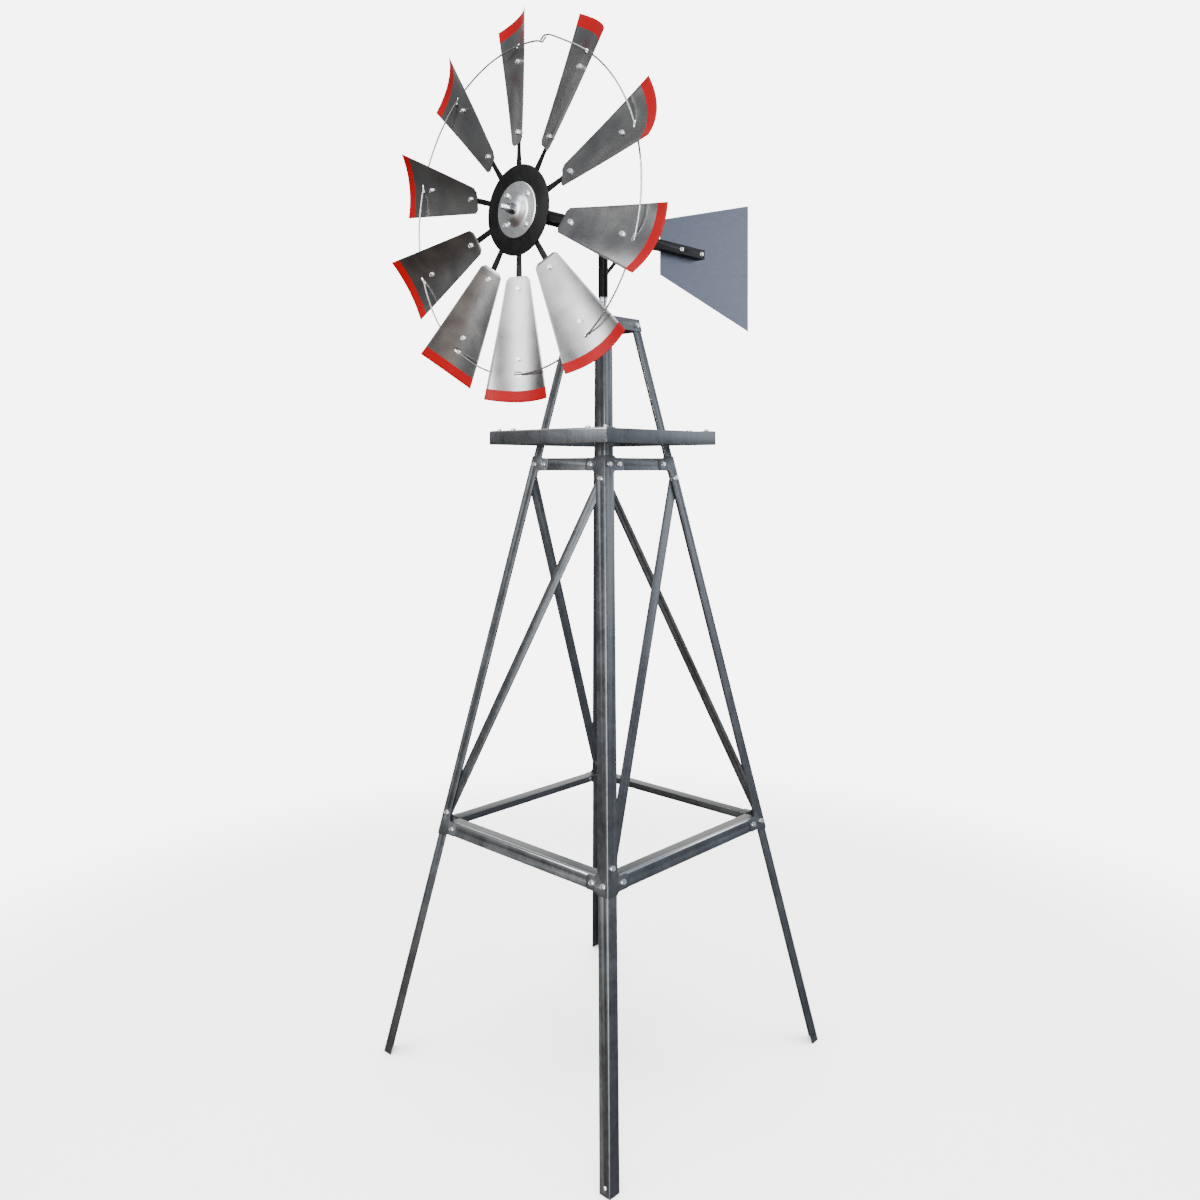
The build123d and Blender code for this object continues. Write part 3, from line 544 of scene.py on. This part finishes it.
def bladeFrame(number):
    turn = math.radians((number - 1) * 360 / blade["count"])
    tilt = math.radians(blade["pitch"])
    clockwise = Vector((math.cos(turn), 0, -math.sin(turn)))
    outward = Vector((math.sin(turn), 0, math.cos(turn)))
    across = clockwise * math.cos(tilt) + forward * math.sin(tilt)   # the clockwise edge is forward
    facing = across.cross(outward)
    half = blade["spokeThickness"] / 2
    origin = Vector((0, ringBack + half, axisHeight)) + facing * half
    return Matrix(((*across, 0), (*outward, 0), (*facing, 0), (0, 0, 0, 1))).transposed(), origin


def dentAt(x, y, number):
    # oil-canning of the thin sheet, none where a bolt holds it to the spoke
    held = min(math.hypot(x, y - radius) for radius in blade["boltRadii"])
    ease = min(1.0, max(0.0, (held - blade["flatRound"]) / blade["fade"]))
    waveX, waveY = blade["waves"]
    wave = noise.noise(Vector((x * perMetre(waveX), y * perMetre(waveY), blade["waveStep"] * number)))
    return blade["dent"] * ease * wave


def bladeFace(bm, number, radius):
    # lines of points across the sheet, from the inner edge with its cut corners to the curved tip
    tip, inner, cut, columns = blade["tip"], blade["inner"], blade["cut"], blade["columns"]
    corner = math.sqrt(tip ** 2 - (blade["tipWidth"] / 2) ** 2)
    start = inner + cut
    heights = [inner, start]
    heights += [start + (corner - start) * i / blade["rows"] for i in range(1, blade["rows"] + 1)]
    lines = []
    for height in heights:
        share = (height - inner) / (tip - inner)
        half = (blade["innerWidth"] + share * (blade["tipWidth"] - blade["innerWidth"])) / 2
        if height == inner:
            half -= cut
        follow = max(0.0, (height - start) / (corner - start)) ** blade["tipPower"]
        line = []
        for column in range(columns + 1):
            x = half * (2 * column / columns - 1)
            y = height + (math.sqrt(tip ** 2 - x ** 2) - corner) * follow
            z = blade["curve"] + blade["sheet"] - math.sqrt(radius ** 2 - x ** 2)
            line.append(bm.verts.new((x, y, z + dentAt(x, y, number))))
        lines.append(line)
    return lines


def cutSlot(bm):
    # the slot that the ring wire passes through
    reach = (blade["slotLength"] - blade["slotWidth"]) / 2
    radius = blade["slotWidth"] / 2
    outline = []
    for side in (1, -1):
        for i in range(blade["slotSteps"] + 1):
            turn = math.radians(180 * i / blade["slotSteps"] - 90)
            outline.append((side * (reach + radius * math.cos(turn)),
                            blade["slotRadius"] + side * radius * math.sin(turn)))
    punch = bmesh.new()
    ends = [[punch.verts.new((x, y, z)) for x, y in outline]
            for z in (-blade["slotDeep"], blade["slotDeep"])]
    joinRings(punch, ends)
    for end in ends:
        punch.faces.new(end)
    tool = bpy.data.objects.new("slotTool", meshFrom(punch, "slotTool"))
    holder = bpy.data.objects.new("slotted", meshFrom(bm, "slotted"))
    for thing in (tool, holder):
        bpy.context.scene.collection.objects.link(thing)
    cut = holder.modifiers.new("slot", "BOOLEAN")
    cut.operation, cut.solver, cut.object = "DIFFERENCE", "EXACT", tool
    slotted = bmesh.new()
    slotted.from_mesh(evaluatedMesh(holder))
    for thing in (tool, holder):
        bpy.data.objects.remove(thing)
    return slotted


def makeBlade(number):
    turnedTo, origin = bladeFrame(number)
    bm = bmesh.new()
    hollow, crowned = blade["curve"], blade["curve"] + blade["sheet"]   # radii of the two faces
    closeSheet(bm, [bladeFace(bm, number, radius) for radius in (hollow, crowned)])
    bm = cutSlot(bm)
    roundEdges(bm, sharpEdges(bm, degrees=50), blade["rimEase"])
    toTip = bm.verts.layers.float.new("tipDistance")   # where the red band ends
    sheetMap = bm.loops.layers.uv.new("sheetMap")      # runs the grain along the blade
    for vert in bm.verts:
        vert[toTip] = blade["tip"] - math.hypot(vert.co.x, vert.co.y)
    for face in bm.faces:
        for loop in face.loops:
            loop[sheetMap].uv = (loop.vert.co.x, loop.vert.co.y)
    bm.transform(Matrix.Translation(origin) @ turnedTo)
    mesh = meshFrom(bm, f"blade_{number:02d}_sheet", creaseDegrees=40)
    finishPiece(mesh, mesh.name, "wheel", bladeSheet, "blade_sheet", f"blade_{number:02d}")


for bladeNumber in range(1, blade["count"] + 1):
    makeBlade(bladeNumber)


print("ring wire")
wire = {
    "radius": 2 * mm, "ring": 372 * mm, "sides": 4, "smooth": 6,
    # the overlapped ends: degrees clockwise from the top, how far outside the ring, how far behind it
    "hookedStart": ((10.9, 1 * mm, 4 * mm), (11.9, 6 * mm, 1.6 * mm), (12.8, 9 * mm, 0),
                    (14.0, 11 * mm, 0), (16.5, 10 * mm, 0)),
    "hookedEnd": ((369, 0, 0), (371, -2 * mm, 0), (372.2, -5 * mm, 0), (372.7, -4.5 * mm, 0),
                  (373.4, 2 * mm, 0), (374, 6 * mm, 0)),
    # between them the wire starts this far outside and settles on to the ring
    "rise": 10 * mm, "from": 20, "to": 366, "step": 4, "settled": 32, "settles": 16,
}
wireY = sum(corner.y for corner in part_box("ring_wire")) / 2


def wirePoint(degrees, outside, behind=0.0):
    turn = math.radians(degrees)
    reach = wire["ring"] + outside
    return Vector((reach * math.sin(turn), wireY + behind, axisHeight + reach * math.cos(turn)))


def makeRingWire():
    points = [wirePoint(*place) for place in wire["hookedStart"]]
    for degrees in range(wire["from"], wire["to"], wire["step"]):
        left = max(0.0, (wire["settled"] - degrees) / wire["settles"])
        points.append(wirePoint(degrees, wire["rise"] * left ** 2))
    points += [wirePoint(*place) for place in wire["hookedEnd"]]
    curve = bpy.data.curves.new("ring_wire_hooked", "CURVE")
    curve.dimensions = "3D"
    curve.bevel_depth = wire["radius"]
    curve.bevel_resolution = wire["sides"]
    curve.use_fill_caps = True
    curve.resolution_u = wire["smooth"]
    spline = curve.splines.new("NURBS")
    spline.points.add(len(points) - 1)
    for place, point in zip(spline.points, points):
        place.co = (*point, 1.0)
    spline.order_u = 3
    spline.use_endpoint_u = True
    drawn = bpy.data.objects.new("drawn", curve)
    bpy.context.scene.collection.objects.link(drawn)
    mesh = evaluatedMesh(drawn)
    bpy.data.objects.remove(drawn)
    mesh.shade_smooth()
    finishPiece(mesh, "ring_wire_hooked", "wheel", plated["drawnGalvanisedWire"], "wire", "ring_wire")


makeRingWire()


print("hub, axle and nuts")
hub = {
    "radius": 64 * mm, "thick": 4 * mm, "rim": 2.5 * mm, "rimSteps": 6, "backEase": 0.6 * mm,
    "foot": 41 * mm, "crown": 15 * mm, "crownEase": 1 * mm, "domeSteps": 16, "domeSwell": 0.8,
    "barrel": 10 * mm, "barrelFoot": (0.02 * mm, 1 * mm), "bore": 6.02 * mm, "sides": 96,
}


def makeHubFlange():
    front = ringFront - domeFront                    # how far the dome stands forward of its seat
    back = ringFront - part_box("hub_flange")[1].y
    radius, thick, rim, barrel = hub["radius"], hub["thick"], hub["rim"], hub["barrel"]
    footHeight, footWidth = hub["barrelFoot"]
    profile = [(back, hub["bore"]), (back, barrel), (-footHeight, barrel), (0, barrel + footWidth),
               (0, radius - hub["backEase"]), (hub["backEase"], radius)]
    for i in range(hub["rimSteps"] + 1):
        turn = math.radians(90 * i / hub["rimSteps"])
        profile.append((thick - rim + rim * math.sin(turn), radius - rim + rim * math.cos(turn)))
    for i in range(hub["domeSteps"] + 1):
        share = i / hub["domeSteps"]
        lift = (front - thick) * (0.5 - 0.5 * math.cos(math.pi * share)) ** hub["domeSwell"]
        profile.append((thick + lift, hub["foot"] + (hub["crown"] - hub["foot"]) * share))
    profile += [(front, hub["crown"] - hub["crownEase"]), (front, hub["bore"])]
    bm = bmesh.new()
    lathe(bm, Vector((0, ringFront, axisHeight)), forward, profile, sides=hub["sides"], closed=True)
    finishPiece(meshFrom(bm, "hub_flange_spun", creaseDegrees=35), "hub_flange_spun", "wheel",
                plated["spunAluminium"], "polished_hub", "hub_flange")


shaft = {"radius": 6 * mm, "chamfer": 1 * mm, "pitch": 1.75 * mm, "runOut": 0.5 * mm, "sides": 40}


def makeAxle():
    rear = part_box("axle")[1].y
    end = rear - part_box("axle")[0].y
    plain = rear - domeFront                         # smooth as far as the front of the dome
    radius, chamfer = shaft["radius"], shaft["chamfer"]
    profile = [(0, 0), (0, radius - chamfer), (chamfer, radius), (plain, radius)]
    profile += threadProfile(plain + shaft["runOut"], end, radius, shaft["pitch"])
    bm = bmesh.new()
    lathe(bm, Vector((0, rear, axisHeight)), forward, profile, sides=shaft["sides"])
    finishPiece(meshFrom(bm, "axle_threaded", creaseDegrees=50), "axle_threaded", "wheel",
                plated["brightZincPlate"], "bright_steel", "axle")


axleNut = {"across": 19 * mm, "height": 10 * mm, "bore": 6.05 * mm, "sink": 0.8 * mm, "turned": 0.3,
           "washer": 13 * mm, "washerThick": 2.5 * mm, "washerEase": 0.4 * mm, "sides": 60}
spindleNut = {"across": 24 * mm, "height": 10 * mm, "bore": 8.05 * mm, "sink": 0.8 * mm, "turned": 0.4,
              "sides": 48}


def nutProfile(nut, bottom):
    # a hexagon with a bore, countersunk at its top
    top, bore, sink = bottom + nut["height"], nut["bore"], nut["sink"]
    sides = hexProfile(nut["across"], bottom, top)
    return [(bottom, bore)] + sides + [(top, bore + sink), (top - sink, bore)]


def makeAxleNut():
    seat = Vector((0, domeFront, axisHeight))
    washer, thick, ease = axleNut["washer"], axleNut["washerThick"], axleNut["washerEase"]
    ring = [(0, axleNut["bore"]), (0, washer - ease), (ease, washer), (thick - ease, washer),
            (thick, washer - ease), (thick, axleNut["bore"])]
    bm = bmesh.new()
    lathe(bm, seat, forward, ring, sides=axleNut["sides"], closed=True)
    lathe(bm, seat, forward, nutProfile(axleNut, thick), axleNut["sides"], axleNut["turned"], closed=True)
    # the axle nut's smoky grey is painted shade
    finishPiece(meshFrom(bm, "axle_nut_detailed", creaseDegrees=28), "axle_nut_detailed", "wheel",
                plated["zincPlateWithPaintedShade"], "zinc_hardware", "axle_nut")


def makeSpindleNuts():
    # one above the top cap and one below it, back to back
    low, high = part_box("spindle_nuts")
    height = spindleNut["height"]
    bm = bmesh.new()
    for start, direction in ((high.z - height, Vector((0, 0, 1))), (low.z + height, Vector((0, 0, -1)))):
        lathe(bm, Vector((0, 0, start)), direction, nutProfile(spindleNut, 0), spindleNut["sides"],
              spindleNut["turned"], closed=True)
    finishPiece(meshFrom(bm, "spindle_nuts_detailed", creaseDegrees=28), "spindle_nuts_detailed", "tower",
                plated["brightZincPlate"], "zinc_hardware", "spindle_nuts")


makeHubFlange()
makeAxle()
makeAxleNut()
makeSpindleNuts()


print("black parts, spindle, bushes and bearings")
edgedParts = {
    # part: body, width of its softened edges in millimetres, material, slot
    "spindle": ("tower", 0.3, plated["brightZincPlate"], "zinc_hardware"),
    "thrust_washer": ("tower", 0.2, plated["groundSteel"], "bright_steel"),
    "mast_tube": ("head", 0.4, blackPaint, "black_paint"),
    "axle_housing": ("head", 0.5, blackPaint, "black_paint"),
    "tail_boom": ("head", 0.6, blackPaint, "black_paint"),
    "boom_brace": ("head", 0.3, blackPaint, "black_paint"),
    "hub_ring": ("wheel", 0.4, blackPaint, "black_paint"),
    "spokes": ("wheel", 0.5, blackPaint, "black_paint"),
    "mast_bushes": ("head", 0.3, plated["sinteredBronze"], "bronze"),
    "axle_bearings": ("head", 0.3, plated["groundSteel"], "bright_steel"),
    "axle_collar": ("wheel", 0.4, plated["groundSteel"], "bright_steel"),
}
for node, (body, width, material, slotName) in edgedParts.items():
    finishPiece(softEdges(node, width * mm), node + "_edged", body, material, slotName, node)


print("tail vane")
vane = {
    "rows": 24, "columns": 30, "rimEase": 0.3 * mm,
    # buckling: depth, length of its waves, how far back the boom holds it flat, the width it grows over
    "dent": 0.5 * mm, "waves": (160, 130), "heldTo": 400 * mm, "grows": 250 * mm,
}


def vaneFace(bm, x):
    # upright lines of points from the narrow front edge to the rear edge
    low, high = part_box("tail_vane")
    middle = (low.z + high.z) / 2
    frontHalf = max(v.co.z for v in cadNodes["tail_vane"].data.vertices if v.co.y < low.y + 1 * mm) - middle
    rearHalf = high.z - middle
    waveY, waveZ = vane["waves"]
    lines = []
    for column in range(vane["columns"] + 1):
        share = column / vane["columns"]
        y = low.y + (high.y - low.y) * share
        half = frontHalf + (rearHalf - frontHalf) * share
        line = []
        for row in range(vane["rows"] + 1):
            z = middle + half * (2 * row / vane["rows"] - 1)
            free = min(1.0, math.hypot(max(0.0, y - vane["heldTo"]), z - middle) / vane["grows"])
            wave = noise.noise(Vector((0, y * perMetre(waveY), z * perMetre(waveZ)))) * vane["dent"] * free
            line.append(bm.verts.new((x + wave, y, z)))
        lines.append(line)
    return lines


def makeTailVane():
    bm = bmesh.new()
    closeSheet(bm, [vaneFace(bm, corner.x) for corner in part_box("tail_vane")])
    roundEdges(bm, sharpEdges(bm, degrees=50), vane["rimEase"])
    finishPiece(meshFrom(bm, "tail_vane_sheet", creaseDegrees=40), "tail_vane_sheet", "head",
                vaneZinc, "vane_sheet", "tail_vane")


makeTailVane()


print("floor, light and camera")
studio = {
    "seen": "#ffffff", "seenStrength": 6.5,
    "above": ("#c9cdd2", 0.55), "level": ("#bbbdbd", 0.46), "below": ("#8a7f78", 0.42),
    # heights, from straight down at -1 to straight up at 1, over which the room changes colour
    "belowToLevel": (-0.35, -0.02), "levelToAbove": (0.0, 0.8),
    # soft patches of light in the room: direction, how tight (cosines from edge to core), colour,
    # strength and how much its height counts (a small share makes it a tall strip)
    "patches": (
        ((-0.14, -0.93, 0.33), (0.88, 0.98), "#ffffff", 3.6, 1.0),
        ((-0.19, -0.92, -0.34), (0.92, 0.985), "#b3a69b", 0.75, 1.0),
        ((0.63, -0.77, 0.0), (0.97, 0.99), "#ffffff", 12.0, 0.25),
        ((0.77, 0.63, 0.0), (0.75, 0.96), "#c3d0e6", 0.5, 0.5),
        ((-0.64, 0.70, 0.3), (0.82, 0.97), "#f2f0ea", 2.0, 1.0),
    ),
}


def makeWorld():
    # the camera sees a plain bright backdrop, and the windmill mirrors a room with soft patches of light
    world = bpy.data.worlds.new("paleStudio")
    bpy.context.scene.world = world
    world.use_nodes = True
    tree = world.node_tree
    tree.nodes.clear()
    direction = addNode(tree, "ShaderNodeTexCoord").outputs["Generated"]
    height = addNode(tree, "ShaderNodeSeparateXYZ", {"Vector": direction}).outputs["Z"]
    below, level, above = ([c * strength for c in hexToLinear(colour)[:3]] + [1.0]
                           for colour, strength in (studio["below"], studio["level"], studio["above"]))
    start, end = studio["belowToLevel"]
    under = addNode(tree, "ShaderNodeMapRange", {"Value": height, "From Min": start, "From Max": end},
                    interpolation_type="SMOOTHSTEP")
    start, end = studio["levelToAbove"]
    over = addNode(tree, "ShaderNodeMapRange", {"Value": height, "From Min": start, "From Max": end},
                   interpolation_type="SMOOTHSTEP")
    lower = addNode(tree, "ShaderNodeMix", {"Factor": under, "A": below, "B": level}, data_type="RGBA")
    room = addNode(tree, "ShaderNodeMix", {"Factor": over, "A": lower, "B": above}, data_type="RGBA")
    for towards, (edge, core), colour, strength, heightShare in studio["patches"]:
        squash = Vector((1, 1, heightShare))
        squashed = addNode(tree, "ShaderNodeVectorMath", {0: direction, 1: squash}, operation="MULTIPLY")
        arrow = addNode(tree, "ShaderNodeVectorMath", {0: squashed}, operation="NORMALIZE")
        aim = (Vector(towards) * squash).normalized()
        aligned = addNode(tree, "ShaderNodeVectorMath", {0: arrow, 1: aim}, operation="DOT_PRODUCT")
        amount = addNode(tree, "ShaderNodeMapRange", {
            "Value": aligned.outputs["Value"], "From Min": edge, "From Max": core, "To Max": strength},
            interpolation_type="SMOOTHSTEP")
        room = addNode(tree, "ShaderNodeMix", {"Factor": amount, "A": room, "B": hexToLinear(colour)},
                       data_type="RGBA", blend_type="ADD", clamp_factor=False)
    lighting = addNode(tree, "ShaderNodeBackground", {"Color": room, "Strength": 1.0})
    backdrop = addNode(tree, "ShaderNodeBackground", {
        "Color": hexToLinear(studio["seen"]), "Strength": studio["seenStrength"]})
    seen = addNode(tree, "ShaderNodeLightPath").outputs["Is Camera Ray"]
    chosen = addNode(tree, "ShaderNodeMixShader", {0: seen, 1: lighting, 2: backdrop})
    addNode(tree, "ShaderNodeOutputWorld", {"Surface": chosen})


floorLook = {
    # "fade" is where the floor begins to clear and where it has gone, as shares of its radius
    "colour": "#f2f2f0", "rough": (0.75, 0.9), "fleck": 400, "radius": 2.6, "fade": (0.55, 0.98),
    "sides": 128, "drop": 0.5 * mm,
}


def makeFloor():
    # pale painted floor: flat and chalky, and it fades into the backdrop towards its edge
    material, tree, shader = startMaterial("paleFloorPaint", 0.0)
    place = addNode(tree, "ShaderNodeTexCoord").outputs["Object"]
    fleck = addNode(tree, "ShaderNodeTexNoise", {
        "Vector": place, "Scale": perMetre(floorLook["fleck"]), "Detail": 4.0})
    low, high = floorLook["rough"]
    rough = addNode(tree, "ShaderNodeMapRange", {"Value": fleck, "To Min": low, "To Max": high})
    shader.inputs["Base Color"].default_value = hexToLinear(floorLook["colour"])
    feedShader(tree, shader, {"Roughness": rough})
    distance = addNode(tree, "ShaderNodeVectorMath", {0: place}, operation="LENGTH").outputs["Value"]
    start, end = (share * floorLook["radius"] for share in floorLook["fade"])
    fade = addNode(tree, "ShaderNodeMapRange", {"Value": distance, "From Min": start, "From Max": end},
                   interpolation_type="SMOOTHSTEP")
    clear = addNode(tree, "ShaderNodeBsdfTransparent")
    mixed = addNode(tree, "ShaderNodeMixShader", {0: fade, 1: shader, 2: clear})
    tree.links.new(openSocket(mixed.outputs), tree.nodes["Material Output"].inputs["Surface"])
    bm = bmesh.new()
    bmesh.ops.create_circle(bm, cap_ends=True, segments=floorLook["sides"], radius=floorLook["radius"])
    floor = bpy.data.objects.new("floor", meshFrom(bm, "floor"))
    floor.data.materials.append(material)
    floor.location.z = -floorLook["drop"]
    floor.visible_glossy = floor.visible_diffuse = False   # the room, not the floor, lights the windmill
    bpy.context.scene.collection.objects.link(floor)
    return floor


lamps = {
    # name: place, size in metres, watts, colour; each looks at the tower's middle
    "overhead": ((0.4, -0.6, 4.6), (3.2, 3.2), 90, "#ffffff"),
    "frontBox": ((-0.9, -4.6, 2.6), (1.6, 2.6), 60, "#ffffff"),
    "cornerStrip": ((2.9, -3.2, 2.3), (0.35, 2.2), 40, "#ffffff"),
    "rearFill": ((1.8, 3.6, 2.4), (2.2, 2.2), 45, "#eef3fa"),
    "floorWash": ((0.0, 0.0, 5.0), (6.0, 6.0), 1500, "#ffffff"),   # lights the floor only
}


def makeLamps(floor):
    aim = (cadBounds[0] + cadBounds[1]) / 2
    onlyFloor = bpy.data.collections.new("onlyFloor")
    onlyFloor.objects.link(floor)
    for name, (place, size, watts, colour) in lamps.items():
        light = bpy.data.lights.new(name, "AREA")
        light.shape = "RECTANGLE"
        light.size, light.size_y = size
        light.energy = watts
        light.color = hexToLinear(colour)[:3]
        lamp = bpy.data.objects.new(name, light)
        lamp.location = place
        lamp.rotation_euler = (aim - Vector(place)).to_track_quat("-Z", "Y").to_euler()
        bpy.context.scene.collection.objects.link(lamp)
        if name == "floorWash":
            lamp.light_linking.receiver_collection = onlyFloor


# a level camera, right of the front and at about the platform's height
cameraView = {"place": (1.7355, -1.8211, 1.4207), "turn": 42.37, "lens": 30.62, "shift": (-0.0212, -0.1099),
              "clip": (0.05, 60)}


def makeCamera():
    lens = bpy.data.cameras.new("camera")
    lens.lens = cameraView["lens"]
    lens.shift_x, lens.shift_y = cameraView["shift"]
    lens.clip_start, lens.clip_end = cameraView["clip"]
    camera = bpy.data.objects.new("camera", lens)
    camera.location = cameraView["place"]
    camera.rotation_euler = (math.radians(90), 0, math.radians(cameraView["turn"]))
    bpy.context.scene.collection.objects.link(camera)
    bpy.context.scene.camera = camera


makeWorld()
makeLamps(makeFloor())
makeCamera()

print("finished")
